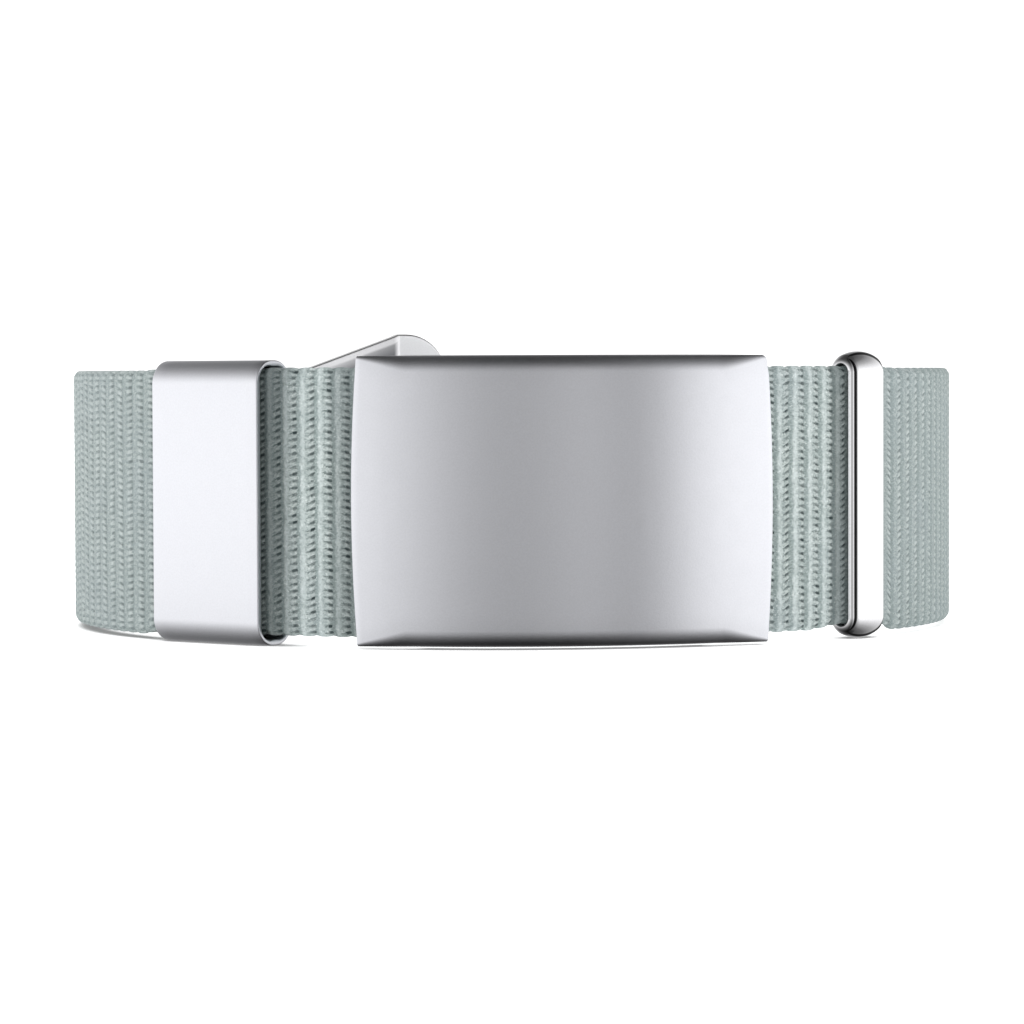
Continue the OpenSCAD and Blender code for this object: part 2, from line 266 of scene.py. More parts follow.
class Nodes:
    """Short names for building a node tree."""

    def __init__(self, name):
        self.material = bpy.data.materials.new(name)
        self.material.use_nodes = True
        self.tree = self.material.node_tree
        self.tree.nodes.clear()
        self.out = self.tree.nodes.new("ShaderNodeOutputMaterial")
        self.shader = self.tree.nodes.new("ShaderNodeBsdfPrincipled")
        self.tree.links.new(self.shader.outputs[0], self.out.inputs["Surface"])

    def node(self, kind, **settings):
        """A new shader node with its settings."""
        made = self.tree.nodes.new("ShaderNode" + kind)
        for key, value in settings.items():
            setattr(made, key, value)
        return made

    def plug(self, socket, value):
        """Links another node's output to a socket, or sets the socket's value."""
        if isinstance(value, bpy.types.NodeSocket):
            self.tree.links.new(value, socket)
        else:
            socket.default_value = value

    def maths(self, operation, a, b=None, clamp=False):
        made = self.node("Math", operation=operation, use_clamp=clamp)
        for socket, value in zip(made.inputs, (a, b)):
            if value is not None:
                self.plug(socket, value)
        return made.outputs[0]

    def plus(self, a, b, clamp=False):
        return self.maths("ADD", a, b, clamp)

    def minus(self, a, b):
        return self.maths("SUBTRACT", a, b)

    def times(self, a, b):
        return self.maths("MULTIPLY", a, b)

    def absolute(self, value):
        return self.maths("ABSOLUTE", value)

    def mix(self, factor, a, b, blend="MIX"):
        made = self.node("Mix", data_type="RGBA", blend_type=blend)
        self.plug(made.inputs["Factor"], factor)
        self.plug(made.inputs[6], a)
        self.plug(made.inputs[7], b)
        return made.outputs[2]

    def ranged(self, value, low, high, to_low=0.0, to_high=1.0, smooth=True):
        """Takes low to to_low and high to to_high, and stays level beyond both."""
        made = self.node("MapRange", interpolation_type="SMOOTHSTEP" if smooth else "LINEAR")
        for socket, number in zip(made.inputs, (value, low, high, to_low, to_high)):
            self.plug(socket, number)
        return made.outputs[0]

    def band(self, value, rise_from, rise_to, fall_to, fall_from):
        """1 from rise_to to fall_from, and 0 below rise_from and above fall_to."""
        return self.times(self.ranged(value, rise_from, rise_to), self.ranged(value, fall_to, fall_from))

    def noise(self, vector, scale, detail=2.0, roughness=0.5):
        made = self.node("TexNoise")
        self.plug(made.inputs["Vector"], vector)
        made.inputs["Scale"].default_value = scale
        made.inputs["Detail"].default_value = detail
        made.inputs["Roughness"].default_value = roughness
        return made.outputs["Fac"]

    def bump(self, height, strength, distance):
        """Normals of a height, with the distance in metres."""
        made = self.node("Bump")
        made.inputs["Strength"].default_value = strength
        made.inputs["Distance"].default_value = distance
        self.plug(made.inputs["Height"], height)
        return made.outputs[0]

    def set(self, **values):
        """Plugs the shader's sockets, whose names have underscores here for their spaces."""
        for key, value in values.items():
            self.plug(self.shader.inputs[key.replace("_", " ")], value)


# Colour of the painted shade on the lever's inner face
LEVER_PAINTED_SHADE = srgb(96, 98, 103)
# Depths of the steel's grain and the yarn's fibres, in metres
STEEL_GRAIN, YARN_GRAIN = 0.00002, 0.00013


def steel(name, colour, roughness, grain, painted_shade=0.0):
    """Blasted or polished stainless steel; its last argument paints it darker, as painted shade, where the
    mesh's first coordinate is 1.
    """
    n = Nodes(name)
    place = n.node("TexCoord").outputs["Object"]
    fine = n.noise(place, 7000, 3, 0.6)
    cloud = n.noise(place, 900, 2)
    shade = n.mix(n.ranged(fine, 0.3, 0.7), tuple(c * 0.95 for c in colour[:3]) + (1,), colour)
    rough = n.plus(n.times(n.minus(fine, 0.5), roughness * 0.3), roughness)
    rough = n.plus(rough, n.times(n.minus(cloud, 0.5), roughness * 0.1))
    # painted shade, darker where the mesh's first coordinate is 1
    if painted_shade:
        uv = n.node("UVMap", uv_map="weave").outputs[0]
        split = n.node("SeparateXYZ")
        n.plug(split.inputs[0], uv)
        shade = n.mix(n.times(split.outputs[0], painted_shade), shade, LEVER_PAINTED_SHADE)
    n.set(Base_Color=shade, Metallic=1.0, Roughness=rough, Normal=n.bump(fine, grain, STEEL_GRAIN))
    return n.material


def rib_of(at):
    """Place in ribs, on the first lap, of a distance along the webbing from the front's middle."""
    return (LOOP_LEN + at - STRAP_FROM) / RIB_PITCH


# Distances in ribs from the middle between the keeper and the ring. Over the first two the painted highlights
# move from the ridges to the stitches and painted shade darkens the webbing, and over the other two the
# painted shade in the holes turns fainter.
FAR_FROM, FAR_TO, FADE_FROM, FADE_TO = 18.5, 19.5, 21.0, 30.0


def webbing_material(name):
    """Ribbed nylon: painted highlights on the ridges and on the leaf-shaped stitches against them, painted
    shade on the ribs' flanks and in the holes between the stitches' tips.
    """
    n = Nodes(name)
    uv = n.node("UVMap", uv_map="weave").outputs[0]
    split = n.node("SeparateXYZ")
    n.plug(split.inputs[0], uv)
    place = n.node("TexCoord").outputs["Object"]
    # the ridges waver a little
    waver = n.minus(n.noise(place, 1500, 2, 0.6), 0.5)
    along = n.plus(split.outputs[0], n.times(waver, 0.3))
    across = split.outputs[1]
    # place in a rib, -0.5 and 0.5 on the ridges, and 1 between two stitches
    step = n.minus(n.maths("FRACT", n.plus(along, 0.5)), 0.5)
    between = n.times(n.absolute(n.minus(n.maths("FRACT", across), 0.5)), -2.0)
    between = n.plus(between, 1.0)
    # a chance value for each hole
    cell = n.node("CombineXYZ")
    n.plug(cell.inputs[0], n.maths("ROUND", along))
    n.plug(cell.inputs[1], n.maths("FLOOR", across))
    chance = n.node("TexWhiteNoise", noise_dimensions="2D")
    n.plug(chance.inputs["Vector"], cell.outputs[0])
    chance = chance.outputs["Value"]
    threads = n.node("CombineXYZ")
    n.plug(threads.inputs[0], n.times(along, 7.0))
    n.plug(threads.inputs[1], n.times(across, 4.5))
    fibre = n.noise(threads.outputs[0], 1.0, 3, 0.65)
    blotch = n.noise(place, 800, 3)
    broad = n.noise(place, 110, 2)
    speck = n.noise(place, 4600, 2, 0.75)
    tone = n.mix(n.ranged(fibre, 0.36, 0.64), srgb(112, 124, 122), srgb(176, 186, 184))
    # past the keeper and the ring the painted highlights on the stitches stand out more than those on the
    # ridges and the painted shade in the holes
    past = n.absolute(n.minus(along, rib_of((KEEPER_AT + RING_AT) / 2)))
    far = n.ranged(past, FAR_FROM, FAR_TO)
    # painted highlight on the ridges
    ridge = n.times(n.ranged(n.absolute(step), 0.22, 0.5), n.ranged(speck, 0.3, 0.5, 0.5, 0.85))
    ridge = n.times(ridge, n.ranged(far, 0.0, 1.0, 1.0, 0.25, False))
    tone = n.mix(ridge, tone, srgb(191, 200, 199))
    # painted highlight on the leaf-shaped stitches
    leaf = n.times(n.ranged(step, 0.16, 0.02), n.ranged(between, 0.8, 0.3))
    leaf = n.times(leaf, n.ranged(step, -0.4, -0.1))
    leaf = n.times(leaf, n.ranged(far, 0.0, 1.0, 0.4, 0.9, False))
    tone = n.mix(leaf, tone, srgb(200, 208, 206))
    # painted shade on the ribs' flanks
    flank_shade = n.band(step, 0.08, 0.2, 0.42, 0.3)
    tone = n.mix(n.times(flank_shade, 0.5), tone, srgb(122, 136, 134))
    tone = n.mix(n.times(n.ranged(blotch, 0.42, 0.7), 0.4), tone, srgb(132, 145, 143))
    tone = n.mix(n.times(n.ranged(broad, 0.4, 0.65), 0.2), tone, srgb(150, 160, 166))
    # painted shade in the line between two leaves, which opens into a hole at their tips
    line = n.times(n.ranged(between, 0.62, 0.95), n.band(step, -0.42, -0.2, 0.2, 0.05))
    hole = n.times(n.ranged(between, 0.3, 0.8), n.band(step, -0.14, -0.04, 0.2, 0.08))
    dark = n.plus(n.times(line, 0.55), n.times(hole, 0.95), clamp=True)
    dark = n.times(dark, n.ranged(chance, 0.0, 1.0, 0.35, 1.0, False))
    dark = n.times(dark, n.ranged(blotch, 0.3, 0.55, 0.6, 1.0))
    faint = n.times(far, n.ranged(past, FADE_FROM, FADE_TO, 0.2, 0.6))
    dark = n.times(dark, n.minus(1.0, faint))
    tone = n.mix(dark, tone, srgb(44, 57, 58))
    tone = n.mix(n.ranged(speck, 0.46, 0.34, 0.0, 0.25), tone, srgb(86, 100, 99))
    # painted glints on the fibres' bright specks
    painted_glint = n.times(n.ranged(speck, 0.58, 0.7), n.minus(1.0, dark))
    tone = n.mix(n.times(painted_glint, 0.4), tone, srgb(236, 242, 240))
    # painted shade: the webbing is darker where it comes out from under the steel pieces
    keeper_end = rib_of(KEEPER_AT + KEEPER_LEN / 2)
    shade = n.ranged(n.absolute(n.minus(along, keeper_end)), 0.5, 2.5, 0.9, 0.0)
    for left, right, depth in (
        (rib_of(RING_AT - RING_W / 2) - 1.15, rib_of(RING_AT), 0.72),
        (rib_of(PLATE_AT - PLATE_LEN / 2) - 1.1, rib_of(PLATE_AT), 0.5),
    ):
        inside = n.times(
            n.ranged(along, left - 0.2, left + 0.2),
            n.ranged(along, right, right + 0.1, 1.0, 0.0),
        )
        shade = n.maths("MAXIMUM", shade, n.times(inside, depth))
    tone = n.mix(shade, tone, n.mix(0.75, tone, srgb(20, 34, 35)))
    # painted shade: the side stretches past the keeper and the ring are darker
    tone = n.mix(n.times(far, 0.38), tone, srgb(128, 138, 139))
    height = n.plus(n.times(fibre, 0.75), n.times(speck, 0.25))
    n.set(
        Base_Color=tone,
        Roughness=n.ranged(speck, 0.3, 0.7, 0.6, 0.85),
        Normal=n.bump(height, 0.9, YARN_GRAIN),
        Sheen_Weight=0.1,
        Sheen_Roughness=0.4,
        Sheen_Tint=srgb(214, 226, 224),
        Specular_IOR_Level=0.3,
    )
    return n.material


SATIN = steel("satin_steel_look", srgb(228, 229, 234), 0.4, 0.3)
# the lever's inner face carries painted shade
LEVER_STEEL = steel("lever_steel_look", srgb(238, 238, 240), 0.3, 0.12, 0.85)
POLISHED = steel("polished_steel_look", srgb(244, 244, 246), 0.05, 0.01)
WEBBING = webbing_material("webbing_look")


def place_piece(obj, body, slot, material, *nodes):
    """Gives a mesh its look, says which body it rides on and hides the nodes that it replaces; its slot is
    not used.
    """
    obj.data.materials.append(material)
    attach(obj, body)
    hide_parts(*nodes)


# Webbing
STITCHES = 37
FACE_LOW = STRAP_Z + SELVAGE_H
FACE_HIGH = STRAP_TOP - SELVAGE_H
STITCH = (FACE_HIGH - FACE_LOW) / STITCHES
# The side stretches hang a little below the steel pieces' middle and lie a little wider than inside them
DROOP, SPREAD, DROOP_RUN = 0.5, 0.031, 3.0
# The stretches beside the plate do so less
NEAR_DROOP, NEAR_SPREAD, NEAR_RUN = 0.17, 0.017, 4.0
# Both start at these distances from the steel
SIDE_START, NEAR_START = 0.2, 0.3
# The plain edge: share of its height left, and half its thickness there
SELVAGE = [(0.75, 0.6), (0.5, 0.48), (0.25, 0.4)]
SELVAGE_EDGE_R, SELVAGE_EDGE_HALF = 0.16, 0.36
# The first and last column of the woven face lie a little lower, with weaker stitches
SHOULDER_DROP, SHOULDER_WEAVE = 0.03, 0.4
# Places in a rib, in ribs: a leaf's fullest place, its tip, where it leans from, and the edge threads' pull
LEAF_AT, TIP_AT, LEAN_AT, PULL_AT = -0.1, 0.05, 0.1, 0.1
# Chance values of each rib, and of each stitch in it
RNG = np.random.default_rng(7)
RIB_PHASE = RNG.uniform(-0.5, 0.5, RIB_COUNT + 2)
RIB_SHEAR = RNG.choice([-1, 1], RIB_COUNT + 2) * RNG.uniform(0.35, 1.1, RIB_COUNT + 2)
RIB_DEPTH = RNG.uniform(0.8, 1.15, RIB_COUNT + 2)
RIB_SHIFT = RNG.uniform(-0.03, 0.03, RIB_COUNT + 2)
LUMP_SIZE = RNG.uniform(-1, 1, (RIB_COUNT + 2, STITCHES + 2))
LUMP_REACH = RNG.uniform(-1, 1, (RIB_COUNT + 2, STITCHES + 2))
# One rib, from ridge to ridge. A stitch is a leaf that lies against the ridge before it, and between two
# leaves' tips there is a hole. Columns: place and depth at a stitch's middle, place and depth between two
# stitches, and place on the plain edges.
WEAVE = np.array([
    (-0.50, 0.000, -0.50, 0.000, -0.50),
    (-0.37, 0.000, -0.37, 0.030, -0.37),
    (-0.24, 0.000, -0.26, 0.075, -0.25),
    (-0.08, 0.010, -0.17, 0.110, -0.13),
    (0.050, 0.035, -0.09, 0.150, -0.02),
    (0.120, 0.120, 0.030, 0.230, 0.090),
    (0.210, 0.100, 0.190, 0.150, 0.200),
    (0.360, 0.030, 0.360, 0.040, 0.360),
])


def side_stretch(s):
    """1 round the sides and back, clear of every steel piece, and 0 inside and beside them."""
    lap = np.mod(s, LOOP_LEN)
    clear = np.minimum(lap - RING_AT - RING_W / 2, LOOP_LEN + KEEPER_AT - KEEPER_LEN / 2 - lap)
    sleeve = LOOP_LEN / 2 + CASE_AT - (CASE_LEN - SLEEVE_LEN) / 2
    clear = np.minimum(clear, np.abs(lap - sleeve) - SLEEVE_LEN / 2)
    return ease((clear - SIDE_START) / DROOP_RUN)


def near_stretch(s):
    """1 from the keeper to the ring, where the webbing hangs a little lower, and 0 inside the ring."""
    at = np.mod(s + LOOP_LEN / 2, LOOP_LEN) - LOOP_LEN / 2
    right = RING_AT - RING_W / 2 - NEAR_START - at
    left = at - KEEPER_AT + KEEPER_LEN / 2 + NEAR_RUN
    clear = np.minimum(right, left)
    return ease(clear / NEAR_RUN)


def section(outer_steps, inner_steps):
    """Columns round the webbing: height, half thickness, side of the face, strength of the stitches."""

    def face(side, steps):
        half = STRAP_T / 2
        heights = np.linspace(FACE_LOW, FACE_HIGH, int(STITCHES * steps) + 1)
        rows = [(z, half, side, 1.0) for z in heights]
        rows[0] = (FACE_LOW, half - SHOULDER_DROP, side, SHOULDER_WEAVE)
        rows[-1] = (FACE_HIGH, half - SHOULDER_DROP, side, SHOULDER_WEAVE)
        low = [(FACE_LOW - SELVAGE_H * (1 - run), h, side, 0.0) for run, h in SELVAGE]
        high = [(FACE_HIGH + SELVAGE_H * (1 - run), h, side, 0.0) for run, h in SELVAGE]
        return low[::-1] + rows + high

    def edge(base, direction):
        rows = []
        for turn in (35, 70, 110, 145):
            angle = math.radians(turn)
            height = base + direction * SELVAGE_EDGE_R * math.sin(angle)
            rows.append((height, SELVAGE_EDGE_HALF, direction * math.cos(angle), 0.0))
        return rows

    outer, inner = face(1, outer_steps), face(-1, inner_steps)[::-1]
    top, bottom = edge(STRAP_TOP - SELVAGE_EDGE_R, 1), edge(STRAP_Z + SELVAGE_EDGE_R, -1)
    return np.array(outer + top + inner + bottom)


def hump(x, middle, width):
    """Bell curve of height 1."""
    return np.exp(-((x - middle) / width) ** 2)


def webbing_piece(name, first, last, outer_steps, inner_steps):
    """Ribs first to last of the webbing, from ridge to ridge, as one closed piece."""
    z, half, side, amount = section(outer_steps, inner_steps).T
    across = (z - FACE_LOW) / STITCH
    count = len(WEAVE)
    rib = np.append(np.repeat(np.arange(first, last), count), last)
    row = np.append(np.tile(np.arange(count), last - first), 0)
    middle_at, middle_depth, between_at, between_depth, plain = WEAVE[row].T[:, :, None]
    # 1 between two stitches, 0 at their middles; a leaf is rounder than a cosine
    between = (0.5 - 0.5 * np.cos(2 * math.pi * across))[None, :] ** 1.3
    stitch = np.clip(np.round(across), 0, STITCHES).astype(int)
    size = LUMP_SIZE[rib[:, None], stitch[None, :]] * (1 - between)
    reach = LUMP_REACH[rib[:, None], stitch[None, :]] * (1 - between)
    inside = np.where(row == 0, 0.0, 1.0)[:, None]
    woven = middle_at + (between_at - middle_at) * between
    step = woven + inside * (RIB_SHIFT[rib][:, None] + 0.035 * reach * hump(middle_at, TIP_AT, 0.12))
    step = plain + (step - plain) * amount[None, :]
    step = step + (1 - inside) * 0.07 * reach
    depth = (middle_depth + (between_depth - middle_depth) * between) * RIB_DEPTH[rib][:, None]
    depth = depth + (1 - inside) * 0.03 * (1 + size)
    depth = depth - inside * 0.025 * size * hump(middle_at, LEAF_AT, 0.2)
    edge_depth = 0.13 * hump(plain, PULL_AT, 0.16)
    depth = edge_depth + (depth - edge_depth) * amount[None, :]
    s = STRAP_FROM + (rib[:, None] + step) * RIB_PITCH
    # a rib's stitches start at their own height and lean to one side
    fade = np.clip(np.minimum(across, STITCHES - across) / 2, 0, 1) * (amount == 1)
    weight = 1 - np.abs(2 * plain) ** 4
    lean = RIB_SHEAR[rib][:, None] * (plain - LEAN_AT) * weight
    slide = (RIB_PHASE[rib][:, None] * weight + lean) * STITCH * fade[None, :] * inside
    loops = np.where(amount == 0, 1.0, 0.0)[None, :] * np.sign(across - STITCHES / 2)[None, :]
    height = z[None, :] + slide - loops * 0.1 * hump(plain, PULL_AT, 0.2)
    free = side_stretch(s)
    near = near_stretch(s) * (1 - free)
    middle = STRAP_Z + STRAP_W / 2
    spread = 1 + SPREAD * free + NEAR_SPREAD * near
    height = middle + (height - middle) * spread - DROOP * free - NEAR_DROOP * near
    body = side[None, :] * np.maximum(half[None, :] - depth * np.abs(side)[None, :], 0.05)
    grid = on_loop(s, layer_depth(s) + STRAP_T / 2 - body, height)
    rows, cols = grid.shape[:2]
    points = grid.reshape(-1, 3)
    faces = [grid_faces(rows, cols, wrap_cols=True)]
    # flat ends, hidden under the steel pieces, but for the tail's own end
    ends = []
    for at, turn in ((0, 1), (rows - 1, -1)):
        ends.append(grid[at].mean(axis=0))
        ring = np.arange(cols) + at * cols
        hub = np.full(cols, len(points) + len(ends) - 1)
        faces.append(np.stack([hub, np.roll(ring, -1), ring][::turn], axis=-1))
    points = np.concatenate([points, np.array(ends)])
    # the weave's own coordinates, ribs along and stitches across, without the chance shifts
    quads = faces[0]
    weave_u = (rib[:, None] + woven).reshape(-1)[quads]
    weave_v = np.broadcast_to(across, (rows, cols)).reshape(-1)[quads]
    uv = np.stack([weave_u, weave_v], axis=-1).reshape(-1, 2)
    uv = np.concatenate([uv, np.zeros((2 * cols * 3, 2)) + 0.5])
    return new_object(name, points, faces, smooth_angle=0, uv=uv)


def rib_at(s):
    """Number of the ridge nearest to a distance along the webbing."""
    return int(round((s - STRAP_FROM) / RIB_PITCH))


keeper_s, ring_s = LOOP_LEN + KEEPER_AT, LOOP_LEN + RING_AT
sleeve_s = LOOP_LEN * 1.5 + CASE_AT - CASE_LEN / 2 + SLEEVE_LEN / 2
cuts = [1, rib_at(keeper_s), rib_at(ring_s), rib_at(sleeve_s), RIB_COUNT]
# Name, and columns for each stitch on the outer and the inner face: more on the face that shows
pieces = [
    ("webbing_left", 4, 0.5),
    ("webbing_front", 6, 2),
    ("webbing_right", 4, 1.5),
    ("webbing_tail", 0.5, 4),
]
for (name, outer, inner), first, last in zip(pieces, cuts, cuts[1:]):
    piece = webbing_piece(name, first, last, outer, inner)
    place_piece(piece, "band", "webbing", WEBBING, "strap")


# Identity plate

# The bend's least angle and radius, at the corners, and the length over which it comes to its full ones
CREASE_TURN, CREASE_R, BEND_RUN = 62.0, 0.26, 4.8
# The flanges reach this far past the webbing's back, and past their ends the sheet is cut to a stub
FLANGE_PAST, STUB = 0.5, 0.12
# Length over which the short sides' bow and the upper right corner's cut die out, and the cut's height
CORNER_RUN, CORNER_CUT = 4.0, 0.45


def identity_plate():
    """Curved sheet whose long edges bend back, less and less towards the four corners."""
    edge = 0.14
    half = PLATE_LEN / 2
    flange_half = FLANGE_LEN / 2
    middle = math.degrees(PLATE_AT / FRONT_R)
    right = np.concatenate([
        np.linspace(0, flange_half - 0.2, 26),
        [flange_half + 0.15],
        np.linspace(flange_half + 0.45, half - edge, 12)[:-1],
        (half - rim_close(edge))[::-1],
    ])
    u = np.concatenate([-right[:0:-1], right])
    # towards the corners the bend runs out: its radius and angle shrink to a crease
    full = np.clip((half - np.abs(u)) / BEND_RUN, 0, 1)
    bend_r = CREASE_R + (PLATE_LOOK_R - CREASE_R) * full
    bend = np.radians(CREASE_TURN + (90 - CREASE_TURN) * full)
    flange_depth = PLATE_T + FACE_GAP * 2 + STRAP_T + FLANGE_PAST - PLATE_LOOK_R
    flange = np.where(np.abs(u) < flange_half, flange_depth, STUB)
    arc = np.linspace(0, 1, 9)
    upright = np.linspace(-1, 1, 17)
    path = [("flange", t) for t in (1.0, 0.93, 0.8, 0.3)] + [("arc", t) for t in arc[::-1][:-1]]
    rows = len(path)
    face = np.zeros((2 * rows + len(upright), len(u), 3))
    normal = np.zeros_like(face)
    rim = np.zeros(face.shape[:2])
    side_dist = half - np.abs(u)

    def put(row, depth, z, tilt, up, dist):
        """One row of the sheet's outer face, with the short sides' bow and the cut corner."""
        z_rel = (z - PLATE_H / 2) / (PLATE_H / 2)
        bow = PLATE_BOW * z_rel**2
        cut = np.where((z_rel > 0) & (u > 0), np.clip(z - (PLATE_H - CORNER_CUT), 0, 1) * 0.9, 0)
        shrink = np.clip((np.abs(u) - (half - CORNER_RUN)) / CORNER_RUN, 0, 1) * (bow + cut)
        h = middle + np.degrees(np.sign(u) * (np.abs(u) - shrink) / PLATE_FACE_R)
        o = outward(h)
        plan = CENTRES[0] + (PLATE_FACE_R - depth)[:, None] * o
        face[row] = np.concatenate([plan, PLATE_Z + z[:, None]], axis=1)
        normal[row] = np.concatenate([o * np.cos(tilt)[:, None], (up * np.sin(tilt))[:, None]], axis=1)
        rim[row] = np.minimum(side_dist, dist)

    base = PLATE_H - bend_r * np.sin(bend) - flange * np.cos(bend)
    for up in (-1, 1):
        for k, (kind, t) in enumerate(path):
            row = k if up < 0 else 2 * rows + len(upright) - 1 - k
            if kind == "arc":
                turn = bend * t
                depth = bend_r * (1 - np.cos(turn))
                z = base + bend_r * np.sin(turn)
                dist = flange
            else:
                turn = bend
                depth = bend_r * (1 - np.cos(turn)) + flange * t * np.sin(turn)
                z = base + bend_r * np.sin(turn) + flange * t * np.cos(turn)
                dist = flange * (1 - t)
            put(row, depth, z if up > 0 else PLATE_H - z, turn, up, dist)
    for k, t in enumerate(upright):
        z = PLATE_H / 2 + t * (base - PLATE_H / 2)
        put(rows + k, 0 * u, z, 0 * u, 1, NO_RIM)
    sheet = sheet_metal(face, normal, rim, PLATE_T, edge)
    bars = []
    bar_edge, bar_end = 0.1, 0.12
    bar_face_r = FRONT_R - STRAP_T - FACE_GAP - PLATE_T
    for at in (-1, 1):
        bar_middle = at * (flange_half - BAR_W / 2)
        across = rim_steps(bar_middle - BAR_W / 2, bar_middle + BAR_W / 2, bar_edge, 6)
        z = np.concatenate([[bar_end], np.linspace(0.3, PLATE_H - 0.3, 12), [PLATE_H - bar_end]])
        grid_u, grid_z = np.meshgrid(across, z)
        o = outward(middle + np.degrees(grid_u / PLATE_FACE_R))
        plan = CENTRES[0] + bar_face_r * o
        bar_face = np.concatenate([plan, PLATE_Z + grid_z[..., None]], axis=-1)
        bar_normal = np.concatenate([-o, 0 * grid_z[..., None]], axis=-1)
        dist = np.minimum(BAR_W / 2 - np.abs(grid_u - bar_middle), np.minimum(grid_z, PLATE_H - grid_z))
        points, faces = sheet_metal(bar_face, bar_normal, dist, PLATE_T, bar_edge)
        bars.append((points, [f[:, ::-1] for f in faces]))
    points, faces = joined(sheet, *bars)
    return new_object("identity_plate", points, faces, smooth_angle=50)


plate = identity_plate()
place_piece(plate, "band", "satin_steel", SATIN, "id_plate")


# Keeper and ring
def rounded_path(low, high, corner_r, steps=8):
    """Closed path round a rectangle of depth and height, and its outward directions."""
    points, normals = [], []
    corners = [
        (high[0] - corner_r, high[1] - corner_r, 0),
        (low[0] + corner_r, high[1] - corner_r, 90),
        (low[0] + corner_r, low[1] + corner_r, 180),
        (high[0] - corner_r, low[1] + corner_r, 270),
    ]
    for number, (x, y, start) in enumerate(corners):
        for turn in np.linspace(start, start + 90, steps + 1):
            n = np.array([math.cos(math.radians(turn)), math.sin(math.radians(turn))])
            points.append(np.array([x, y]) + corner_r * n)
            normals.append(n)
        after = corners[(number + 1) % 4]
        n = np.array([math.cos(math.radians(start + 90)), math.sin(math.radians(start + 90))])
        first, last = points[-1], np.array(after[:2]) + corner_r * n
        for t in np.linspace(0, 1, 8)[1:-1]:
            points.append(first + (last - first) * t)
            normals.append(n)
    return np.array(points), np.array(normals)


# The keeper's sheet is half of this thinner in the middle of its corners
KEEPER_THIN = 0.34


def flat_keeper():
    """Flat sheet tube: its section is in depth and height, and its length straight."""
    edge = 0.1
    space = STACK_T + sag(KEEPER_LEN, FRONT_R) + FACE_GAP
    outside = (-FACE_GAP - KEEPER_T, 0), (space + KEEPER_T, INNER_TOP + KEEPER_T)
    path, out = rounded_path(*outside, KEEPER_LOOK_R, 14)
    along = rim_steps(-KEEPER_LEN / 2, KEEPER_LEN / 2, edge, 12)
    centre, radius, heading = loop_at(LOOP_LEN + KEEPER_AT)
    away = outward(heading)
    run = np.array([-away[1], away[0]])
    base = centre + radius * away
    grid_x, grid_d = np.meshgrid(along, path[:, 0])
    plan = base + grid_x[..., None] * run - grid_d[..., None] * away
    z = np.repeat(path[:, 1][:, None], len(along), axis=1)
    face = np.concatenate([plan, z[..., None]], axis=-1)
    flat = -out[:, 0][:, None] * away
    normal = np.concatenate([flat, out[:, 1][:, None]], axis=1)[:, None, :] + 0 * face
    dist = KEEPER_LEN / 2 - np.abs(grid_x)
    thick = (KEEPER_T - KEEPER_THIN * np.abs(out[:, 0] * out[:, 1]))[:, None, None]
    points, faces = sheet_metal(face, normal, dist, thick, edge, wrap=True)
    return new_object("flat_keeper", points, faces, smooth_angle=50)


keeper = flat_keeper()
place_piece(keeper, "band", "satin_steel", SATIN, "keeper")


# Arcs of the ring's outside, from its middle to its side: radius, direction in degrees at its end, and steps.
# They are the crown, a round edge, a narrow almost flat strip and the round side.
RING_ARCS = [
    ((RING_W**2 / 4 + RING_RISE**2) / (2 * RING_RISE), 21.5, 12),
    (0.25, 33.0, 4),
    (3.2, 40.5, 6),
    (0.72, 90.0, 12),
]


def polished_ring():
    """Long ring of crowned bar: a stadium in depth and height, whose bar lies along the webbing."""
    right, x, y, start = [], 0.0, RING_T, 0.0
    for radius, end, steps in RING_ARCS:
        for turn in np.radians(np.linspace(start, end, steps + 1))[1:]:
            begin = math.radians(start)
            right.append((x + radius * (math.sin(turn) - math.sin(begin)),
                          max(y - radius * (math.cos(begin) - math.cos(turn)), 0.02)))
        (x, y), start = right[-1], end
    right.append((x - 0.02, 0))
    profile = np.array([(-x, y) for x, y in right[::-1]] + [(0, RING_T)] + right + [(0, 0)])
    low_z = RING_T + RING_BORE_R
    high_z = INNER_TOP + RING_EDGE_SAG - RING_BORE_R
    turns = np.radians(np.linspace(0, 180, 37))
    base = np.repeat([high_z, low_z], len(turns))
    angle = np.concatenate([turns, math.pi + turns])
    out = np.stack([np.cos(angle), np.sin(angle)], axis=-1)
    centre, radius, heading = loop_at(LOOP_LEN + RING_AT)
    away = outward(heading)
    run = np.array([-away[1], away[0]])
    middle = centre + (radius - (RING_BORE_R - FACE_GAP)) * away
    reach = RING_BORE_R + profile[:, 1][None, :]
    depth = (out[:, 0][:, None] * reach)[..., None]
    plan = middle + profile[:, 0][None, :, None] * run - depth * away
    z = base[:, None] + out[:, 1][:, None] * reach
    grid = np.concatenate([plan, z[..., None]], axis=-1)
    faces = [grid_faces(*grid.shape[:2], wrap_rows=True, wrap_cols=True)]
    return new_object("polished_ring", grid, faces, smooth_angle=60)


ring = polished_ring()
place_piece(ring, "band", "polished_steel", POLISHED, "ring")


# Clasp
CASE_Z = (STRAP_Z + SELVAGE_H, STRAP_TOP - SELVAGE_H)
# The case's plate starts inside the sleeve, and its ears and the lever's web sink into what they join
PLATE_SINK, LOBE_FROM, WEB_FROM = 0.6, 0.55, 0.62
CASE_PLATE_T = CASE_T - 0.05


def swept(centre, radius, heading, z):
    """Points at radii from a centre, headings and heights."""
    plan = centre + radius[..., None] * outward(heading)
    return np.concatenate([plan, z[..., None]], axis=-1)


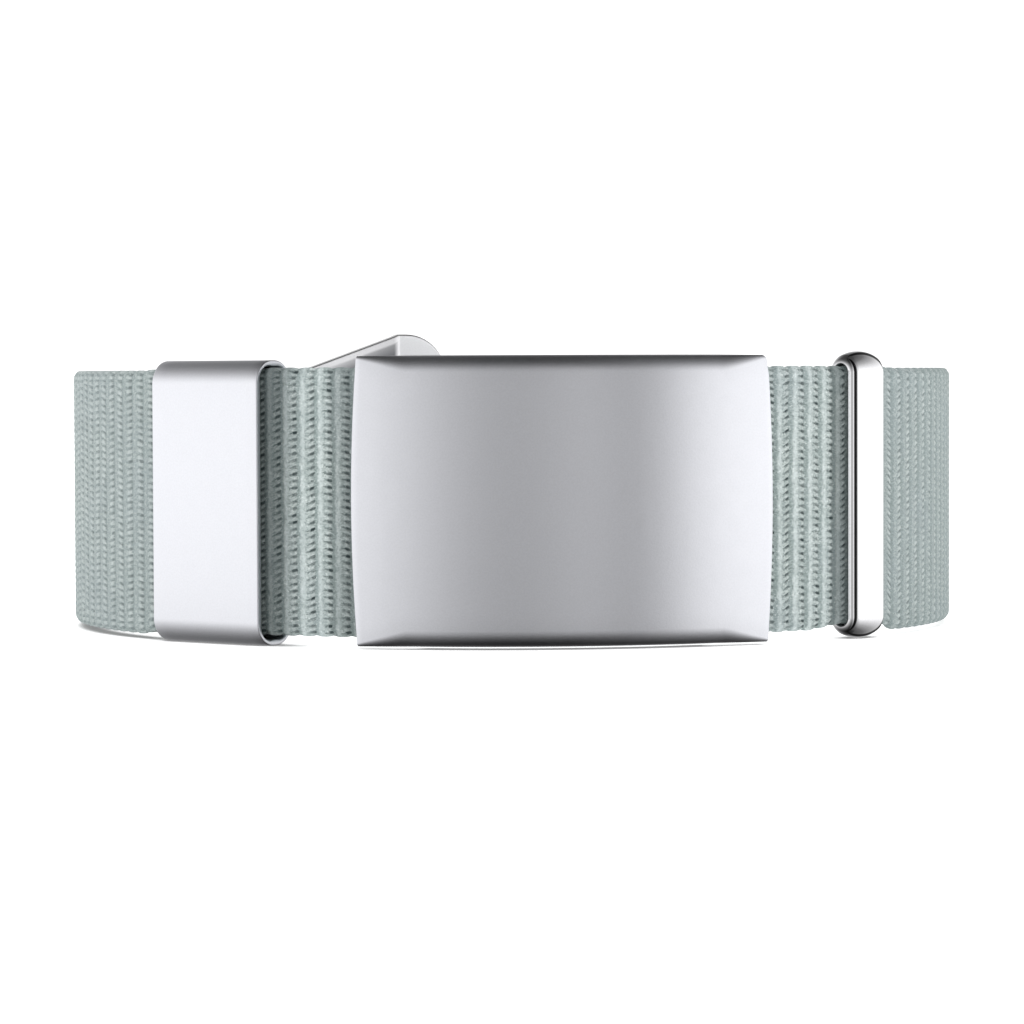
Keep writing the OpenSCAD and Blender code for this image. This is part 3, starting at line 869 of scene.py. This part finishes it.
def clasp_case():
    """Sleeve round the webbing, the curved plate outside it, and the two ears of the hinge."""
    edge = 0.12
    outside = (-FACE_GAP - CASE_T, 0), (STACK_T + FACE_GAP + CASE_T, INNER_TOP + CASE_T)
    path, out = rounded_path(*outside, CASE_CORNER_R)
    sleeve = rim_steps(-CASE_LEN / 2, -CASE_LEN / 2 + SLEEVE_LEN, edge, 14)
    grid_x, grid_d = np.meshgrid(sleeve, path[:, 0])
    heading = CASE_HEADING + np.degrees(grid_x / BACK_R)
    z = np.repeat(path[:, 1][:, None], len(sleeve), axis=1)
    face = swept(CENTRES[2], BACK_R - grid_d, heading, z)
    flat = -out[:, 0][:, None, None] * outward(heading)
    normal = np.concatenate([flat, out[:, 1][:, None, None] + 0 * grid_x[..., None]], axis=-1)
    dist = np.minimum(grid_x + CASE_LEN / 2, -CASE_LEN / 2 + SLEEVE_LEN - grid_x)
    parts = [sheet_metal(face, normal, dist, CASE_T, edge, wrap=True)]
    along = rim_steps(-CASE_LEN / 2 + SLEEVE_LEN - PLATE_SINK, CASE_LEN / 2, edge, 16)
    up = rim_steps(*CASE_Z, edge, 12)
    grid_x, grid_z = np.meshgrid(along, up)
    heading = CASE_HEADING + np.degrees(grid_x / BACK_R)
    face = swept(CENTRES[2], CASE_OUTER_R + 0 * grid_x, heading, grid_z)
    normal = np.concatenate([outward(heading), 0 * grid_z[..., None]], axis=-1)
    dist = np.minimum(
        np.minimum(grid_x - along[0], along[-1] - grid_x),
        np.minimum(grid_z - CASE_Z[0], CASE_Z[1] - grid_z),
    )
    parts.append(sheet_metal(face, normal, dist, CASE_PLATE_T, edge))
    for low in (CASE_Z[0] + CUT_INSET, CASE_Z[1] - CUT_INSET - EAR_H):
        parts.append(rod(HINGE, KNUCKLE_R, low, low + EAR_H, PIN_R + PIN_GAP))
        lobe = []
        away, run = outward(HINGE_HEADING), outward(HINGE_HEADING + 90)
        for x in (-1, 1):
            for reach in (LOBE_FROM, HINGE_R - CASE_OUTER_R + CASE_T / 2):
                plan = HINGE - reach * away + x * KNUCKLE_R * run
                lobe += [(*plan, low + 0.03), (*plan, low + EAR_H - 0.03)]
        parts.append((lobe, [BOX]))
    points, faces = joined(*parts)
    return new_object("clasp_sleeve", points, faces, smooth_angle=50)


case = clasp_case()
place_piece(case, "band", "satin_steel", SATIN, "clasp_case")

LEVER_LOW = STRAP_Z + EDGE_GAP
LEVER_ROOT = KNUCKLE_R + HINGE_GAP + EDGE_GAP
# The bend between the lever and its lip: half its length, and its drop
LIP_BEND_HALF, LIP_BEND_DROP = 0.25, 0.12
# Height of the bright bevel along the lever's upper edge, and the height over which the painted shade comes
# in below it
BEVEL_H, BEVEL_FADE = 0.7, 0.25


def lever_top(x):
    """Height of the lever's upper edge, which rises in a straight line."""
    return STRAP_TOP + LEVER_START + LEVER_FLARE * (x - LEVER_ROOT) / (LEVER_LEN - LEVER_ROOT)


def clasp_lever():
    """Flat lever with a flared upper edge, a bent lip with round corners, and its hinge knuckle."""
    edge = 0.16
    arm = rim_steps(LEVER_ROOT, LEVER_LEN, edge, 18)[:-4]
    lip = LIP_LEN - np.concatenate([
        np.linspace(LIP_LEN - 0.4, LIP_CORNER_R, 3)[:-1],
        LIP_CORNER_R * (1 - np.sin(np.radians(np.linspace(0, 90, 14)))),
    ])
    lip = np.unique(np.clip(lip, 0.3, LIP_LEN - 0.001))
    bend = np.radians(LIP_BEND)
    # from the hinge to the lip's end: place in plan, tilt, lowest and highest point, distance to a rim
    columns = [(x, KNUCKLE_R, 0, LEVER_LOW, lever_top(x), x - LEVER_ROOT) for x in arm]
    for turn in np.linspace(0, 1, 5)[1:-1]:
        x = LEVER_LEN - LIP_BEND_HALF + 2 * LIP_BEND_HALF * turn
        y = KNUCKLE_R - LIP_BEND_DROP * turn**2
        columns.append((x, y, bend * turn, LEVER_LOW, lever_top(LEVER_LEN), NO_RIM))
    for x in lip:
        reach = max(0, x - (LIP_LEN - LIP_CORNER_R))
        drop = LIP_CORNER_R - math.sqrt(max(LIP_CORNER_R**2 - reach**2, 0))
        plan_x, plan_y = LEVER_LEN + x * math.cos(bend), KNUCKLE_R - x * math.sin(bend)
        columns.append((plan_x, plan_y, bend, LEVER_LOW + drop, lever_top(LEVER_LEN) - drop, LIP_LEN - x))
    x_plan, y_plan, tilt, low, high, end_dist = np.array(columns).T
    # shares of the height, closer together at the bevel
    share = np.unique(np.concatenate([rim_steps(0, 1, 0.0065, 16), [0.965, 0.975, 0.985]]))
    z = low[None, :] + share[:, None] * (high - low)[None, :]
    turn = math.radians(LEVER_ANGLE)
    c, s = math.cos(turn), math.sin(turn)
    plan = np.stack([HINGE[0] + x_plan * c - y_plan * s, HINGE[1] + x_plan * s + y_plan * c], axis=-1)
    nx, ny = np.sin(tilt), np.cos(tilt)
    flat = np.stack([nx * c - ny * s, nx * s + ny * c], axis=-1)
    face = np.concatenate([np.broadcast_to(plan, (len(share), *plan.shape)), z[..., None]], axis=-1)
    normal = np.concatenate([np.broadcast_to(flat, (len(share), *flat.shape)), 0 * z[..., None]], axis=-1)
    dist = np.minimum(np.minimum(z - low, high - z), end_dist[None, :])
    points, faces = sheet_metal(face, normal, dist, LEVER_T, edge)
    # the inner face is painted darker as painted shade, apart from a bright bevel along its upper edge
    below_bevel = np.clip((high - z - BEVEL_H) / BEVEL_FADE, 0, 1)
    painted_shade_mask = np.concatenate([0 * z.ravel(), (below_bevel * (tilt == 0)).ravel()])
    parts = [(points, [f[:, ::-1] for f in faces])]
    knuckle_low = CASE_Z[0] + CUT_INSET + EAR_H + HINGE_GAP
    knuckle_high = CASE_Z[1] - CUT_INSET - EAR_H - HINGE_GAP
    parts.append(rod(HINGE, KNUCKLE_R, knuckle_low, knuckle_high, PIN_R + PIN_GAP))
    web = []
    for x in (WEB_FROM, LEVER_ROOT + EDGE_GAP):
        for y in (KNUCKLE_R - LEVER_T + 0.02, KNUCKLE_R - 0.02):
            for height in (knuckle_low + 0.02, knuckle_high - 0.02):
                web.append((HINGE[0] + x * c - y * s, HINGE[1] + x * s + y * c, height))
    parts.append((web, [BOX]))
    points, faces = joined(*parts)
    painted_shade_mask = np.concatenate([painted_shade_mask, np.ones(len(points) - len(painted_shade_mask))])
    corners = np.concatenate([np.asarray(f).ravel() for f in faces])
    uv = np.stack([painted_shade_mask[corners], 0 * painted_shade_mask[corners]], axis=-1)
    return new_object("clasp_lever_plate", points, faces, smooth_angle=50, uv=uv)


lever = clasp_lever()
place_piece(lever, "lever", "satin_steel", LEVER_STEEL, "clasp_lever")

# The pin keeps its own solid
pin = frame["nodes"]["clasp_pin"]
for slot in pin.material_slots:
    slot.link = "OBJECT"
    slot.material = POLISHED

# Camera, floor and light
CAMERA_FROM_FACE, CAMERA_Z = 301.4, 22.36
CAMERA_PITCH, CAMERA_ROLL = 2.09, -0.22
SENSOR, FOCAL_LENGTH = 36, 129.7
# In metres: the floor's half, the reach of the contact shadow, and the cards' radius and middle
FLOOR_HALF, CONTACT_SHADOW = 12.0, 0.004
CARDS_R, CARDS_AT = 0.12, (0, -0.012, 0.012)
camera = bpy.data.objects.new("camera", bpy.data.cameras.new("camera"))
bpy.context.scene.collection.objects.link(camera)
front = CENTRES[0][1] - PLATE_FACE_R
camera.matrix_world = (
    Matrix.Translation(Vector((0.0, front - CAMERA_FROM_FACE, CAMERA_Z)) * MM)
    @ Matrix.Rotation(math.radians(90 - CAMERA_PITCH), 4, "X")
    @ Matrix.Rotation(math.radians(CAMERA_ROLL), 4, "Z")
)
camera.data.sensor_width = SENSOR
camera.data.lens = FOCAL_LENGTH
camera.data.clip_start, camera.data.clip_end = 0.01, 60
bpy.context.scene.camera = camera


def stage_object(name, points, faces, look):
    """A mesh in metres that is only there for the picture."""
    mesh = bpy.data.meshes.new(name)
    mesh.from_pydata(points, [], faces)
    mesh.materials.append(look)
    obj = bpy.data.objects.new(name, mesh)
    bpy.context.scene.collection.objects.link(obj)
    return obj


# The floor glows, and its colour and glow are painted darker where the AO node finds it closed in: a painted
# contact shadow.
floor_look = Nodes("floor_look")
near_floor = floor_look.node("AmbientOcclusion")
near_floor.inputs["Distance"].default_value = CONTACT_SHADOW
open_air = floor_look.ranged(near_floor.outputs["AO"], 0.1, 0.7)
floor_look.set(
    Base_Color=floor_look.mix(open_air, (0.38, 0.38, 0.38, 1), (0.94, 0.94, 0.94, 1)),
    Emission_Color=floor_look.mix(open_air, (0.3, 0.3, 0.3, 1), (1, 1, 1, 1)),
    Roughness=0.9,
    Emission_Strength=0.6,
    Specular_IOR_Level=0.0,
)
floor_corners = [(x * FLOOR_HALF, y * FLOOR_HALF, 0) for x, y in ((-1, -1), (1, -1), (1, 1), (-1, 1))]
floor = stage_object("floor", floor_corners, [(0, 1, 2, 3)], floor_look.material)
floor.visible_glossy = False


def room_light():
    """Evenly white room."""
    world = bpy.data.worlds.new("room")
    bpy.context.scene.world = world
    world.use_nodes = True
    back = world.node_tree.nodes["Background"]
    back.inputs["Color"].default_value = (1, 1, 1, 1)
    back.inputs["Strength"].default_value = 1.25


def ramp(n, value, low, high, stops):
    """Level at places between low and high, from a table of place and level."""
    made = n.node("ValToRGB")
    n.plug(made.inputs[0], n.ranged(value, low, high, 0, 1, False))
    points = made.color_ramp.elements
    while len(points) < len(stops):
        points.new(0.5)
    for point, (place, level) in zip(points, stops):
        point.position = (place - low) / (high - low)
        point.color = (level, level, level, 1)
    return made.outputs[0]


# How bright the cards are round the bracelet: degrees from the front, positive to the right, and level
ROUND_LEVELS = [
    (-180, 0.72), (-90, 0.88), (-45, 0.88), (-30, 0.76), (-20, 0.54), (-8, 0.32),
    (6, 0.28), (14, 0.5), (21, 0.78), (23.5, 0.01), (33, 0.01), (35, 0.72),
    (45, 0.95), (66, 0.95), (122, 0.9), (127, 0.08), (148, 0.08), (153, 0.72),
]
# The same from straight down to straight up
HIGH_LEVELS = [
    (-90, 0.0), (-70, 0.03), (-50, 0.1), (-35, 0.28), (-22, 0.55), (-10, 0.88), (0, 1.0),
    (10, 0.95), (22, 0.66), (35, 0.33), (50, 0.12), (65, 0.05), (90, 0.03),
]


def studio_cards():
    """Pale and dark cards on a globe round the bracelet, which are seen only in its gloss."""
    n = Nodes("studio_cards_look")
    emit = n.node("Emission")
    n.tree.links.new(emit.outputs[0], n.out.inputs["Surface"])
    split = n.node("SeparateXYZ")
    n.plug(split.inputs[0], n.node("TexCoord").outputs["Object"])
    x, y, z = split.outputs
    azimuth = n.maths("DEGREES", n.maths("ARCTAN2", x, n.times(y, -1.0)))
    flat = n.maths("SQRT", n.plus(n.times(x, x), n.times(y, y)))
    elevation = n.maths("DEGREES", n.maths("ARCTAN2", z, flat))
    round_level = ramp(n, azimuth, -180, 180, ROUND_LEVELS)
    high_level = ramp(n, elevation, -90, 90, HIGH_LEVELS)
    n.plug(emit.inputs["Color"], n.mix(1.0, round_level, high_level, "MULTIPLY"))
    emit.inputs["Strength"].default_value = 1.6
    rings, sides = 24, 48
    points = []
    for up in np.radians(np.linspace(-90, 90, rings)):
        for turn in np.radians(np.arange(sides) * 360 / sides):
            across = CARDS_R * math.cos(up)
            points.append((across * math.sin(turn), -across * math.cos(turn), CARDS_R * math.sin(up)))
    faces = grid_faces(rings, sides, wrap_cols=True).tolist()
    cards = stage_object("studio_cards", points, faces, n.material)
    cards.location = CARDS_AT
    for ray in ("camera", "diffuse", "transmission", "shadow", "volume_scatter"):
        setattr(cards, "visible_" + ray, False)


room_light()
studio_cards()

view = bpy.context.scene.view_settings
view.view_transform = "Standard"
view.look = "None"
